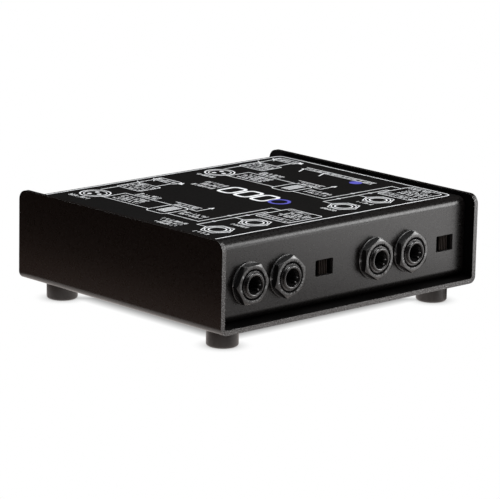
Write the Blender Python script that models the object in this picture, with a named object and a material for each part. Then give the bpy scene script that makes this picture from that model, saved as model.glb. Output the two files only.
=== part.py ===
"""Two-channel passive direct injection box.

A bent steel tray carries a bent steel shell.  The front panel holds two pairs of
6.35 mm jacks and two pad switches, the rear panel two XLR outputs and two ground
lift switches, and a circuit board between them holds two transformers.

Lengths are in millimetres and become metres when a mesh is made.  X runs to the
right along the front panel, the front panel faces -Y, and Z is up from the ground.
"""

from math import cos, pi, radians, sin

import bmesh
import bpy
from mathutils import Vector

METRES = 0.001

# Tray: floor and two side panels bent from one sheet.
TRAY_WIDTH = 139.7
TRAY_DEPTH = 120.3
TRAY_HEIGHT = 36.5
TRAY_SHEET = 2.0
TRAY_BEND = 3.0
TRAY_CORNER = 4.0
BASE = 7.7

# Shell: front panel, top, rear panel and two bottom flanges bent from one sheet.
SHELL_SHEET = 1.5
SHELL_BEND = 3.5
SHELL_HALF_DEPTH = 55.15
SHELL_BOTTOM = BASE + 2.5
SHELL_TOP = BASE + 35.0
SHELL_FLANGE = 12.0
SHELL_HALF_WIDTH = TRAY_WIDTH / 2 - TRAY_SHEET - 0.4

# Fasteners.
FOOT_X = 57.5
FOOT_Y = 47.7
FOOT_RADIUS = 6.3
FOOT_HEIGHT = 7.6
FOOT_RECESS_RADIUS = 3.4
FOOT_RECESS_DEPTH = 4.6
CASE_SCREW_X = 36.0
CASE_SCREW_Y = 47.5
SCREW_RADIUS = 1.5
SCREW_HEAD_RADIUS = 2.7
SCREW_HEAD_HEIGHT = 1.7
SCREW_HOLE = 1.7

# Jacks on the front panel.
CHANNEL_PITCH = 67.6
FIRST_JACK_X = -51.8
JACK_PITCH = 19.6
JACK_Z = BASE + 17.2
JACK_BORE = 3.25
JACK_BUSH_RADIUS = 5.45
JACK_HOLE = 5.75
JACK_BUSH_LENGTH = 4.4
JACK_BODY_HALF_WIDTH = 7.7
JACK_BODY_REAR = -29.5
JACK_BODY_TOP = BASE + 27.0
WASHER_RADIUS = 8.45
WASHER_THICKNESS = 0.7
NUT_ACROSS_FLATS = 14.8
NUT_FACE_RADIUS = 7.3
NUT_FACE = 3.4
NUT_THICKNESS = 2.5
NUT_TURNS = (2.0, 20.0, 28.0, 28.0)
NUT_CHAMFER_RISE = 0.6

# Slide switches, front and rear.
PAD_SWITCH_OFFSET = 40.4
LIFT_SWITCH_OFFSET = 35.0
SWITCH_Z = BASE + 17.4
WINDOW_HALF_WIDTH = 4.7
WINDOW_HALF_HEIGHT = 3.25
SLIDER_HALF_WIDTH = 2.3
SLIDER_HALF_HEIGHT = 2.9
SLIDER_RECESS = 0.7
SLIDER_LENGTH = 6.2
SLIDER_GROOVES = 3
SLIDER_GROOVE_DEPTH = 0.5
SLIDER_GROOVE_MOUTH = 0.35
SLIDER_GROOVE_FLOOR = 0.2
HOUSING_HALF_WIDTH = 7.2
HOUSING_HALF_HEIGHT = 4.8
HOUSING_DEPTH = 7.6
LIFT_REST = -1.8

# XLR outputs on the rear panel.
XLR_OFFSET = 5.0
XLR_Z = BASE + 18.65
XLR_FLANGE_HALF = 12.7
XLR_FLANGE_THICKNESS = 1.6
XLR_SLEEVE_OUTER = 10.9
XLR_SLEEVE_INNER = 9.3
XLR_SLEEVE_DEPTH = 16.0
XLR_INSERT_RADIUS = 9.0
XLR_INSERT_THICKNESS = 4.5
XLR_PIN_CIRCLE = 4.1
XLR_PIN_RADIUS = 1.2
XLR_PIN_ANGLES = (30.0, 150.0, 270.0)
XLR_SCREW_OFFSET = 9.9

# Circuit board and transformers.
BOARD_HALF_WIDTH = 62.0
BOARD_HALF_DEPTH = 49.0
BOARD_BOTTOM = BASE + 5.0
BOARD_THICKNESS = 1.6
CORE_HALF_WIDTH = 14.0
CORE_HALF_STACK = 7.0
CORE_HEIGHT = 21.0
CORE_LEG = 4.0
CORE_YOKE = 4.0
COIL_WALL = 4.4
TRANSFORMER_Y = 4.0
TRANSFORMER_OFFSET = 20.0

GAP = 0.1
CHANNELS = ("ch1", "ch2")
SIDES = (("left", -1), ("right", 1))
ENDS = (("front", -1), ("rear", 1))


def clear_scene():
    """Remove the objects a new file starts with."""
    for item in list(bpy.data.objects):
        bpy.data.objects.remove(item, do_unlink=True)


def make_material(name, colour, roughness, metallic):
    """Return a Principled material."""
    material = bpy.data.materials.new(name)
    material.use_nodes = True
    shader = material.node_tree.nodes["Principled BSDF"]
    shader.inputs["Base Color"].default_value = (*colour, 1.0)
    shader.inputs["Roughness"].default_value = roughness
    shader.inputs["Metallic"].default_value = metallic
    return material


def make_object(name, points, faces, material, origin=(0.0, 0.0, 0.0), smooth=True):
    """Make an object from points in millimetres, with its origin at a chosen point."""
    shift = Vector(origin)
    mesh = bpy.data.meshes.new(name)
    mesh.from_pydata([(Vector(point) - shift) * METRES for point in points], [], faces)
    work = bmesh.new()
    work.from_mesh(mesh)
    bmesh.ops.recalc_face_normals(work, faces=work.faces)
    work.to_mesh(mesh)
    work.free()
    item = bpy.data.objects.new(name, mesh)
    item.location = shift * METRES
    bpy.context.collection.objects.link(item)
    item.data.materials.append(material)
    shade(item, smooth)
    return item


def shade(item, smooth):
    """Shade smoothly across shallow angles only, or flat."""
    for face in item.data.polygons:
        face.use_smooth = smooth
    if smooth:
        item.data.set_sharp_from_angle(angle=radians(32))


def to_space(axis, first, second, along):
    """Place a point of a flat outline in space.

    Outlines for X are (y, z), for Y are (x, z) and for Z are (x, y).
    """
    if axis == "X":
        return (along, first, second)
    if axis == "Y":
        return (first, along, second)
    return (first, second, along)


def prism(name, outline, axis, start, end, material, origin=(0.0, 0.0, 0.0)):
    """Extrude a closed outline along an axis."""
    count = len(outline)
    points = [to_space(axis, a, b, start) for a, b in outline]
    points += [to_space(axis, a, b, end) for a, b in outline]
    faces = [tuple(range(count)), tuple(range(2 * count - 1, count - 1, -1))]
    for index in range(count):
        after = (index + 1) % count
        faces.append((index, after, after + count, index + count))
    return make_object(name, points, faces, material, origin)


def box(name, low, high, material, origin=(0.0, 0.0, 0.0)):
    """Make a box from its two opposite corners."""
    outline = [(low[0], low[1]), (high[0], low[1]), (high[0], high[1]), (low[0], high[1])]
    return prism(name, outline, "Z", low[2], high[2], material, origin)


def lathe(name, profile, axis, centre, material, segments):
    """Turn a closed profile of (radius, along) points about an axis through centre.

    Points with zero radius become one point on the axis.
    """
    points = []
    rings = []
    for radius, along in profile:
        ring = []
        for step in range(1 if radius == 0 else segments):
            angle = 2 * pi * step / segments
            first = centre[0] + radius * cos(angle)
            second = centre[1] + radius * sin(angle)
            ring.append(len(points))
            points.append(to_space(axis, first, second, along))
        rings.append(ring)
    faces = []
    for index, ring in enumerate(rings):
        after = rings[(index + 1) % len(rings)]
        if len(ring) == 1 and len(after) == 1:
            continue
        for step in range(segments):
            corners = []
            for corner in (
                ring[step % len(ring)],
                ring[(step + 1) % len(ring)],
                after[(step + 1) % len(after)],
                after[step % len(after)],
            ):
                if corner not in corners:
                    corners.append(corner)
            faces.append(tuple(corners))
    return make_object(name, points, faces, material)


def combine(item, others, operation):
    """Cut or join other solids and keep only the result."""
    for other in others:
        modifier = item.modifiers.new("combine", "BOOLEAN")
        modifier.operation = operation
        modifier.solver = "EXACT"
        modifier.object = other
    bpy.context.view_layer.update()
    evaluated = item.evaluated_get(bpy.context.evaluated_depsgraph_get())
    result = bpy.data.meshes.new_from_object(evaluated)
    material = item.data.materials[0]
    item.modifiers.clear()
    item.data = result
    item.data.materials.clear()
    item.data.materials.append(material)
    for other in others:
        bpy.data.objects.remove(other, do_unlink=True)
    shade(item, True)
    return item


def cut(item, others):
    """Cut other solids out of an item."""
    return combine(item, others, "DIFFERENCE")


def join(item, others):
    """Join other solids to an item."""
    return combine(item, others, "UNION")


def arc(centre, radius, start, end, steps):
    """Return points along an arc, angles in degrees."""
    points = []
    for step in range(steps + 1):
        angle = radians(start + (end - start) * step / steps)
        points.append((centre[0] + radius * cos(angle), centre[1] + radius * sin(angle)))
    return points


def cylinder(name, radius, axis, centre, start, end, material, segments=24):
    """Make a plain cylinder."""
    profile = [(0, start), (radius, start), (radius, end), (0, end)]
    return lathe(name, profile, axis, centre, material, segments)


def jack_positions():
    """Return (channel, jack name, x) of the four jacks from left to right."""
    places = []
    for index, channel in enumerate(CHANNELS):
        for jack, label in enumerate(("input", "thru")):
            x = FIRST_JACK_X + index * CHANNEL_PITCH + jack * JACK_PITCH
            places.append((channel, label, x))
    return places


def channel_x(index, offset):
    """Return the x of something placed at an offset from a channel's first jack."""
    return FIRST_JACK_X + index * CHANNEL_PITCH + offset


def screw_places():
    """Return (name, x side, y side) of the four corners."""
    return [(f"{end}_{side}", sx, sy) for end, sy in ENDS for side, sx in SIDES]


def build_tray(material):
    """Bend the tray and round the upper corners of its side panels."""
    half = TRAY_WIDTH / 2
    inner = TRAY_BEND - TRAY_SHEET
    top = BASE + TRAY_HEIGHT
    outline = [(-half, top), (-half, BASE + TRAY_BEND)]
    outline += arc((-half + TRAY_BEND, BASE + TRAY_BEND), TRAY_BEND, 180, 270, 5)[1:]
    outline += arc((half - TRAY_BEND, BASE + TRAY_BEND), TRAY_BEND, 270, 360, 5)
    outline += [(half, top), (half - TRAY_SHEET, top)]
    outline += arc((half - TRAY_BEND, BASE + TRAY_BEND), inner, 360, 270, 3)
    outline += arc((-half + TRAY_BEND, BASE + TRAY_BEND), inner, 270, 180, 3)
    outline += [(-half + TRAY_SHEET, top)]
    tray = prism("outer_tray", outline, "Y", -TRAY_DEPTH / 2, TRAY_DEPTH / 2, material)
    cutters = []
    for _, side in ENDS:
        edge = side * TRAY_DEPTH / 2
        centre = (edge - side * TRAY_CORNER, top - TRAY_CORNER)
        start, end = (0, 90) if side > 0 else (180, 90)
        corner = arc(centre, TRAY_CORNER, start, end, 5)
        corner = [(edge + side, centre[1])] + corner + [(centre[0], top + 1)]
        corner.append((edge + side, top + 1))
        cutters.append(prism("cutter", corner, "X", -half - 1, half + 1, material))
    for name, sx, sy in screw_places():
        for x, y in ((FOOT_X, FOOT_Y), (CASE_SCREW_X, CASE_SCREW_Y)):
            centre = (sx * x, sy * y)
            hole = cylinder("cutter", SCREW_HOLE, "Z", centre, BASE - 1, BASE + 3, material, 12)
            cutters.append(hole)
    return cut(tray, cutters)


def shell_outline():
    """Return the closed outline of the shell's sheet in (y, z)."""
    depth = SHELL_HALF_DEPTH
    outer = SHELL_BEND
    inner = SHELL_BEND - SHELL_SHEET
    low = SHELL_BOTTOM + SHELL_BEND
    high = SHELL_TOP - SHELL_BEND
    lip = depth - SHELL_FLANGE
    front = -depth + SHELL_BEND
    rear = depth - SHELL_BEND
    outline = [(-lip, SHELL_BOTTOM)]
    outline += arc((front, low), outer, 270, 180, 5)
    outline += arc((front, high), outer, 180, 90, 5)
    outline += arc((rear, high), outer, 90, 0, 5)
    outline += arc((rear, low), outer, 360, 270, 5)
    outline += [(lip, SHELL_BOTTOM), (lip, SHELL_BOTTOM + SHELL_SHEET)]
    outline += arc((rear, low), inner, 270, 360, 3)
    outline += arc((rear, high), inner, 0, 90, 3)
    outline += arc((front, high), inner, 90, 180, 3)
    outline += arc((front, low), inner, 180, 270, 3)
    outline += [(-lip, SHELL_BOTTOM + SHELL_SHEET)]
    return outline


def build_shell(material):
    """Bend the shell and punch its panels."""
    width = SHELL_HALF_WIDTH
    shell = prism("top_shell", shell_outline(), "X", -width, width, material)
    cutters = []
    front = (-SHELL_HALF_DEPTH - 1, -SHELL_HALF_DEPTH + 2 * SHELL_SHEET)
    rear = (SHELL_HALF_DEPTH - 2 * SHELL_SHEET, SHELL_HALF_DEPTH + 1)
    for _, _, x in jack_positions():
        cutters.append(cylinder("cutter", JACK_HOLE, "Y", (x, JACK_Z), *front, material))
    for index in range(len(CHANNELS)):
        for span, offset in ((front, PAD_SWITCH_OFFSET), (rear, LIFT_SWITCH_OFFSET)):
            x = channel_x(index, offset)
            low = (x - WINDOW_HALF_WIDTH, span[0], SWITCH_Z - WINDOW_HALF_HEIGHT)
            high = (x + WINDOW_HALF_WIDTH, span[1], SWITCH_Z + WINDOW_HALF_HEIGHT)
            cutters.append(box("cutter", low, high, material))
        x = channel_x(index, XLR_OFFSET)
        radius = XLR_SLEEVE_OUTER + 0.3
        cutters.append(cylinder("cutter", radius, "Y", (x, XLR_Z), *rear, material))
        for sign in (-1, 1):
            place = (x + sign * XLR_SCREW_OFFSET, XLR_Z - sign * XLR_SCREW_OFFSET)
            cutters.append(cylinder("cutter", SCREW_HOLE, "Y", place, *rear, material, 12))
    for _, sx, sy in screw_places():
        place = (sx * CASE_SCREW_X, sy * CASE_SCREW_Y)
        low, high = SHELL_BOTTOM - 1, SHELL_BOTTOM + 2 * SHELL_SHEET
        cutters.append(cylinder("cutter", SCREW_HOLE, "Z", place, low, high, material, 12))
    return cut(shell, cutters)


def build_feet(rubber, steel):
    """Make four rubber feet, each held by its own screw."""
    top = FOOT_HEIGHT
    floor = FOOT_RECESS_DEPTH
    profile = [
        (FOOT_RECESS_RADIUS, 0.0),
        (FOOT_RADIUS - 1.2, 0.0),
        (FOOT_RADIUS - 0.35, 0.35),
        (FOOT_RADIUS, 1.2),
        (FOOT_RADIUS, top),
        (SCREW_HOLE, top),
        (SCREW_HOLE, floor),
        (FOOT_RECESS_RADIUS, floor),
    ]
    for name, sx, sy in screw_places():
        centre = (sx * FOOT_X, sy * FOOT_Y)
        lathe(f"foot_{name}", profile, "Z", centre, rubber, 24)
        tip = BASE + TRAY_SHEET - GAP
        build_screw(f"foot_screw_{name}", "Z", centre, floor - GAP, tip, steel)


def build_case_screws(steel):
    """Make four screws that hold the shell's flanges to the tray."""
    for name, sx, sy in screw_places():
        centre = (sx * CASE_SCREW_X, sy * CASE_SCREW_Y)
        build_screw(f"case_screw_{name}", "Z", centre, BASE - GAP, BASE + 4.6, steel)


def build_screw(name, axis, centre, seat, tip, material):
    """Make a pan-head screw whose head lies against seat and whose point is at tip."""
    way = 1 if tip > seat else -1
    crown = seat - way * SCREW_HEAD_HEIGHT
    profile = [
        (0, crown),
        (SCREW_HEAD_RADIUS - 0.8, crown),
        (SCREW_HEAD_RADIUS, crown + way * 0.8),
        (SCREW_HEAD_RADIUS, seat),
        (SCREW_RADIUS, seat),
        (SCREW_RADIUS, tip - way * 0.4),
        (SCREW_RADIUS - 0.4, tip),
        (0, tip),
    ]
    lathe(name, profile, axis, centre, material, 12)


def build_jacks(plastic, steel, brass):
    """Make each jack with its washer, nut and tip spring."""
    for number, (channel, label, x) in enumerate(jack_positions()):
        name = f"{channel}_{label}"
        build_jack_body(f"{name}_jack_body", x, plastic)
        build_washer(f"{name}_jack_washer", x, steel)
        build_nut(f"{name}_jack_nut", x, NUT_TURNS[number], plastic)
        build_tip_spring(f"{name}_tip_spring", x, brass)


def build_jack_body(name, x, material):
    """Make a jack body with a threaded bush, a bore and a slot for its spring."""
    front = -SHELL_HALF_DEPTH
    inner = front + SHELL_SHEET + 0.2
    end = front - JACK_BUSH_LENGTH
    bottom = BOARD_BOTTOM + BOARD_THICKNESS + 0.2
    width = JACK_BODY_HALF_WIDTH
    body = box(name, (x - width, inner, bottom), (x + width, JACK_BODY_REAR, JACK_BODY_TOP), material)
    profile = [
        (0, inner + 1.0),
        (JACK_BUSH_RADIUS, inner + 1.0),
        (JACK_BUSH_RADIUS, end + 0.7),
        (JACK_BUSH_RADIUS - 0.6, end),
        (0, end),
    ]
    join(body, [lathe("cutter", profile, "Y", (x, JACK_Z), material, 24)])
    bore_end = JACK_BODY_REAR - 2.0
    profile = [
        (0, bore_end),
        (JACK_BORE, bore_end),
        (JACK_BORE, end + 0.5),
        (JACK_BORE + 0.9, end - 0.4),
        (0, end - 0.4),
    ]
    bore = lathe("cutter", profile, "Y", (x, JACK_Z), material, 24)
    slot = box("cutter", (x - 2.1, -43.0, JACK_Z), (x + 2.1, -33.0, JACK_BODY_TOP + 1), material)
    return cut(body, [bore, slot])


def build_washer(name, x, material):
    """Make a flat washer against the front panel."""
    start = -SHELL_HALF_DEPTH - GAP
    end = start - WASHER_THICKNESS
    profile = [(JACK_HOLE, start), (WASHER_RADIUS, start), (WASHER_RADIUS, end), (JACK_HOLE, end)]
    lathe(name, profile, "Y", (x, JACK_Z), material, 24)


def build_nut(name, x, turn, material):
    """Make a hexagon nut with a rounded face, turned by an angle in degrees."""
    face = -SHELL_HALF_DEPTH - NUT_FACE
    back = face + NUT_THICKNESS
    corner = NUT_ACROSS_FLATS / 2 / cos(radians(30))
    outline = []
    for step in range(6):
        angle = radians(turn + 60 * step)
        outline.append((x + corner * cos(angle), JACK_Z + corner * sin(angle)))
    nut = prism(name, outline, "Y", face, back, material)
    profile = [
        (0, face),
        (NUT_FACE_RADIUS, face),
        (corner + 0.2, face + NUT_CHAMFER_RISE),
        (corner + 0.2, back),
        (0, back),
    ]
    blank = lathe("cutter", profile, "Y", (x, JACK_Z), material, 24)
    combine(nut, [blank], "INTERSECT")
    hole = cylinder("cutter", JACK_HOLE, "Y", (x, JACK_Z), face - 1, back + 1, material)
    return cut(nut, [hole])


def build_tip_spring(name, x, material):
    """Bend the strip that presses on the tip of a plug."""
    thickness = 0.5
    top = JACK_BODY_TOP + GAP
    path = [(-30.0, top), (-34.4, top), (-38.0, JACK_Z + 1.6), (-40.4, JACK_Z + 4.6)]
    outline = path + [(y - 0.1, z + thickness) for y, z in reversed(path)]
    outline[-2] = (path[1][0] - 0.5, top + thickness)
    outline[-3] = (path[2][0] - 0.2, path[2][1] + 1.2)
    prism(name, outline, "X", x - 1.5, x + 1.5, material)


def build_switch(name, x, facing, rest, plastic, black):
    """Make a slide switch's housing and its slider.

    facing is -1 for the front panel and 1 for the rear panel.
    """
    panel = facing * SHELL_HALF_DEPTH
    front = panel - facing * (SHELL_SHEET + 0.2)
    back = front - facing * HOUSING_DEPTH
    slider_front = panel - facing * SLIDER_RECESS
    slider_back = slider_front - facing * SLIDER_LENGTH
    low = (x - HOUSING_HALF_WIDTH, min(front, back), SWITCH_Z - HOUSING_HALF_HEIGHT)
    high = (x + HOUSING_HALF_WIDTH, max(front, back), SWITCH_Z + HOUSING_HALF_HEIGHT)
    housing = box(f"{name}_housing", low, high, plastic)
    hollow = (front + facing, slider_back - facing * 0.4)
    low = (x - WINDOW_HALF_WIDTH - 0.1, min(hollow), SWITCH_Z - WINDOW_HALF_HEIGHT - 0.1)
    high = (x + WINDOW_HALF_WIDTH + 0.1, max(hollow), SWITCH_Z + WINDOW_HALF_HEIGHT + 0.1)
    cut(housing, [box("cutter", low, high, plastic)])

    centre = x + rest
    wide = SLIDER_HALF_WIDTH
    pitch = 2 * wide / (SLIDER_GROOVES + 1)
    depth = slider_front - facing * SLIDER_GROOVE_DEPTH
    outline = [(centre - wide, slider_back), (centre - wide, slider_front)]
    for groove in range(SLIDER_GROOVES):
        middle = centre - wide + pitch * (groove + 1)
        outline += [(middle - SLIDER_GROOVE_MOUTH, slider_front), (middle - SLIDER_GROOVE_FLOOR, depth)]
        outline += [(middle + SLIDER_GROOVE_FLOOR, depth), (middle + SLIDER_GROOVE_MOUTH, slider_front)]
    outline += [(centre + wide, slider_front), (centre + wide, slider_back)]
    origin = (centre, slider_front, SWITCH_Z)
    low, high = SWITCH_Z - SLIDER_HALF_HEIGHT, SWITCH_Z + SLIDER_HALF_HEIGHT
    prism(f"{name}_slider", outline, "Z", low, high, black, origin)


def build_xlr(name, x, materials):
    """Make a male XLR output: shell, insert, three pins and two screws."""
    panel = SHELL_HALF_DEPTH
    seat = panel + GAP
    face = seat + XLR_FLANGE_THICKNESS
    inner_end = panel - XLR_SLEEVE_DEPTH
    half = XLR_FLANGE_HALF
    low = (x - half, seat, XLR_Z - half)
    shell = box(f"{name}_shell", low, (x + half, face, XLR_Z + half), materials["shell"])
    centre = (x, XLR_Z)
    sleeve = cylinder("cutter", XLR_SLEEVE_OUTER, "Y", centre, inner_end, face - 0.4, materials["shell"], 32)
    join(shell, [sleeve])
    past = face + 1
    mouth = (inner_end - 1, past)
    cutters = [cylinder("cutter", XLR_SLEEVE_INNER, "Y", centre, *mouth, materials["shell"], 32)]
    for sign in (-1, 1):
        place = (x + sign * XLR_SCREW_OFFSET, XLR_Z - sign * XLR_SCREW_OFFSET)
        cutters.append(cylinder("cutter", SCREW_HOLE, "Y", place, seat - 1, past, materials["shell"], 12))
        side = "upper" if sign < 0 else "lower"
        build_screw(f"{name}_screw_{side}", "Y", place, face + GAP, panel - 4.0, materials["steel"])
    cut(shell, cutters)

    start = inner_end + 0.3
    end = start + XLR_INSERT_THICKNESS
    insert = cylinder(f"{name}_insert", XLR_INSERT_RADIUS, "Y", centre, start, end, materials["plastic"], 32)
    holes = []
    for number, angle in enumerate(XLR_PIN_ANGLES):
        place = (
            x + XLR_PIN_CIRCLE * cos(radians(angle)),
            XLR_Z + XLR_PIN_CIRCLE * sin(radians(angle)),
        )
        radius = XLR_PIN_RADIUS
        reach = (start - 1, end + 1)
        holes.append(cylinder("cutter", radius + 0.25, "Y", place, *reach, materials["plastic"], 12))
        tip = panel - 0.3
        profile = [(0, start - 2.0), (radius, start - 2.0)]
        profile += [(radius, tip - 0.8), (radius - 0.5, tip), (0, tip)]
        lathe(f"{name}_pin_{number + 1}", profile, "Y", place, materials["pin"], 12)
    cut(insert, holes)


def build_board(material):
    """Make the circuit board that carries the jacks, outputs and transformers."""
    low = (-BOARD_HALF_WIDTH, -BOARD_HALF_DEPTH, BOARD_BOTTOM)
    high = (BOARD_HALF_WIDTH, BOARD_HALF_DEPTH, BOARD_BOTTOM + BOARD_THICKNESS)
    box("circuit_board", low, high, material)


def build_transformer(name, x, steel, copper):
    """Make a laminated core with its coil round the middle leg."""
    bottom = BOARD_BOTTOM + BOARD_THICKNESS + 0.2
    top = bottom + CORE_HEIGHT
    y = TRANSFORMER_Y
    low = (x - CORE_HALF_WIDTH, y - CORE_HALF_STACK, bottom)
    high = (x + CORE_HALF_WIDTH, y + CORE_HALF_STACK, top)
    core = box(f"{name}_core", low, high, steel)
    reach = CORE_LEG + 0.3 + COIL_WALL
    cutters = []
    for sign in (-1, 1):
        edges = sorted((x + sign * CORE_LEG, x + sign * (reach + 0.3)))
        low = (edges[0], y - CORE_HALF_STACK - 1, bottom + CORE_YOKE)
        high = (edges[1], y + CORE_HALF_STACK + 1, top - CORE_YOKE)
        cutters.append(box("cutter", low, high, steel))
    cut(core, cutters)
    low_z, high_z = bottom + CORE_YOKE + 0.3, top - CORE_YOKE - 0.3
    depth = CORE_HALF_STACK + 0.3
    low = (x - reach, y - depth - COIL_WALL, low_z)
    coil = box(f"{name}_coil", low, (x + reach, y + depth + COIL_WALL, high_z), copper)
    low = (x - CORE_LEG - 0.3, y - depth, low_z - 1)
    cut(coil, [box("cutter", low, (x + CORE_LEG + 0.3, y + depth, high_z + 1), copper)])


def main():
    """Build every piece of the box."""
    clear_scene()
    powder = make_material("black_powder_coat", (0.012, 0.011, 0.011), 0.5, 0.0)
    rubber = make_material("black_rubber", (0.016, 0.016, 0.016), 0.75, 0.0)
    steel = make_material("black_oxide_steel", (0.05, 0.05, 0.05), 0.35, 1.0)
    washer = make_material("plated_steel", (0.45, 0.45, 0.46), 0.3, 1.0)
    plastic = make_material("black_plastic", (0.02, 0.02, 0.021), 0.35, 0.0)
    knob = make_material("slider_plastic", (0.03, 0.028, 0.027), 0.5, 0.0)
    brass = make_material("spring_brass", (0.6, 0.44, 0.18), 0.35, 1.0)
    casting = make_material("cast_shell", (0.06, 0.06, 0.062), 0.4, 1.0)
    silver = make_material("silver_pin", (0.72, 0.71, 0.68), 0.2, 1.0)
    board = make_material("green_board", (0.01, 0.09, 0.03), 0.5, 0.0)
    core = make_material("lamination_steel", (0.25, 0.25, 0.26), 0.45, 1.0)
    coil = make_material("coil_tape", (0.45, 0.32, 0.05), 0.6, 0.0)

    build_tray(powder)
    build_shell(powder)
    build_feet(rubber, steel)
    build_case_screws(steel)
    build_jacks(plastic, washer, brass)
    for index, channel in enumerate(CHANNELS):
        pad_x = channel_x(index, PAD_SWITCH_OFFSET)
        build_switch(f"{channel}_pad_switch", pad_x, -1, 0.0, plastic, knob)
        lift_x = channel_x(index, LIFT_SWITCH_OFFSET)
        build_switch(f"{channel}_lift_switch", lift_x, 1, LIFT_REST, plastic, knob)
        xlr = {"shell": casting, "plastic": plastic, "pin": silver, "steel": steel}
        build_xlr(f"{channel}_xlr", channel_x(index, XLR_OFFSET), xlr)
        build_transformer(f"{channel}_transformer", channel_x(index, TRANSFORMER_OFFSET), core, coil)
    build_board(board)


main()
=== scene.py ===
"""Looks of a two-channel passive direct injection box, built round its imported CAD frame.

The bent sheets, jacks, sliders, outputs, screws and feet get finer meshes than the CAD
solids, at the places the frame gives, and every surface gets a procedural material.
The print on the top is generic: strokes, outlines, dots and rows of ticks.

Shapes are drawn in millimetres and become metres when a mesh is made.
"""

import random
from math import cos, hypot, pi, radians, sin

import bmesh
import bpy
from mathutils import Matrix, Vector

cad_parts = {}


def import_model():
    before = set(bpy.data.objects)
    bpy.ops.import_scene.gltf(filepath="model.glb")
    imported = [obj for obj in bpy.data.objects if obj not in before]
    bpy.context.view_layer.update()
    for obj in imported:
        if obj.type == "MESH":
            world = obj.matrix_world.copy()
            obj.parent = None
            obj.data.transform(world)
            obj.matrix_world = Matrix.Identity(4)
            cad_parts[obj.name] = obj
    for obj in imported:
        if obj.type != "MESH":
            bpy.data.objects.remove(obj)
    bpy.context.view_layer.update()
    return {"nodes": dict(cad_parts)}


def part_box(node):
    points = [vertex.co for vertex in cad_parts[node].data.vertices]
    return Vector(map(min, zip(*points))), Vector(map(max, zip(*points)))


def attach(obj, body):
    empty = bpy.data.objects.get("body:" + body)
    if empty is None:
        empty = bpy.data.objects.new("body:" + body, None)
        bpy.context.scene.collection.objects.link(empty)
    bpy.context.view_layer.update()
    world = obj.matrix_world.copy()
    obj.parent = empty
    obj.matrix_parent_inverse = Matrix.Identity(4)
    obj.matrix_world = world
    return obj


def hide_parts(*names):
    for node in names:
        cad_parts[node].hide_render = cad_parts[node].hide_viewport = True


METRES = 0.001

# Camera, as angles of the line from the object to it.
CAMERA_AZIMUTH = -43.29
CAMERA_ELEVATION = 13.08
CAMERA_ROLL = 1.206
CAMERA_DISTANCE = 1238.0
CAMERA_TARGET_RISE = 18.26
CAMERA_SIDE = 0.55
CAMERA_DROP = -5.40
CAMERA_LENS = 221.5
SENSOR_WIDTH = 36.0

# Lights: the softboxes' aim and the height of the table's glow, in metres, and usual colours.
LIGHT_AIM = (0.0, 0.0, 0.03)
BOUNCE_LEVEL = -0.002
SOFTBOX_WHITE = (1.0, 0.995, 0.99)
TABLE_WHITE = (1.0, 0.985, 0.98)

# Floor. The shade under the box deepens over these distances inside its outline, in metres.
FLOOR_HALF = 6.0
SHADE_SPAN = (-0.0215, -0.0145)
SHADE_DEEPEST = 0.36
CONTACT_REACH = 0.006
CONTACT_DEEPEST = 0.6
CONTACT_SPAN = (0.4, 0.95)

# How far a cutter goes past what it cuts through.
PAST = 1.0

# Sheets.
TRAY_SHEET = 2.0
TRAY_CORNER = 4.0
TRAY_BEND = 3.0
TRAY_EDGE = 0.28
SHELL_SHEET = 1.5
SHELL_FLANGE = 12.0
SHELL_BEND = 3.5
SHELL_EDGE = 0.2
BEND_STEPS = 10
CORNER_STEPS = 8
SCREW_HOLE = 1.7

# Feet.
FOOT_RIM = 1.1
FOOT_RECESS = 3.4
FOOT_RECESS_DEPTH = 4.6
FOOT_RECESS_LIP = 0.4

# Screws. The crown is given as (radius, depth below its top).
SCREW_CROWN = ((0, 0), (0.9, 0.05), (1.7, 0.22), (2.35, 0.6), (2.7, 1.1), (2.7, 1.7))
SCREW_SHANK = 1.5
SCREW_ROOT = 1.32
SCREW_POINT = 0.6
CROSS_HALF_LENGTH = 1.5
CROSS_HALF_WIDTH = 0.28
CROSS_DEPTH = 1.1
THREAD_PITCH = 0.55

# Jacks.
JACK_GAP = 0.2
JACK_BORE = 3.25
JACK_BACK_WALL = 2.0
SPRING_SLOT = (-43.0, -33.0)
SPRING_SLOT_HALF_WIDTH = 2.1
BUSH_RADIUS = 5.45
BUSH_ROOT = 5.23
BUSH_HOLE = 5.75
BUSH_SHOULDER = 1.0
BUSH_LIP_OUTER = 4.7
BUSH_LIP_INNER = 3.55
BUSH_MOUTH = (1.3, 1.6)
TOOTH_ANGLES = (-8.0, -47.0)
TOOTH_HALF_WIDTH = 0.42
TOOTH_REACH = 0.75
TOOTH_SPAN = (0.7, 3.2)
NUT_ACROSS_FLATS = 14.8
NUT_FACE_RADIUS = 7.3
NUT_TURNS = (2.0, 20.0, 28.0, 28.0)
NUT_CHAMFER_RISE = 0.6
NUT_HOLE_CHAMFER = (0.45, 0.8)

# Switches.
WINDOW_HALF_WIDTH = 4.7
WINDOW_HALF_HEIGHT = 3.25
WINDOW_CORNER = 0.45
SLIDER_RIDGES = 5
SLIDER_GROOVE = 0.4
SLIDER_RIDGE_SHARE = 0.6
SLIDER_RIDGE_SLOPE = 0.12

# Outputs.
XLR_SEAT_GAP = 0.1
XLR_FLANGE_CORNER = 2.6
XLR_SLEEVE_OUTER = 10.9
XLR_SLEEVE_INNER = 9.3
XLR_SLEEVE_DROP = 0.4
XLR_HOLE_GAP = 0.3
XLR_CHAMFER = 0.5
XLR_SCREW_OFFSET = 9.9
INSERT_LIP = 1.3
INSERT_DISH = 0.6
PIN_HOLE = 1.45

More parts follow.
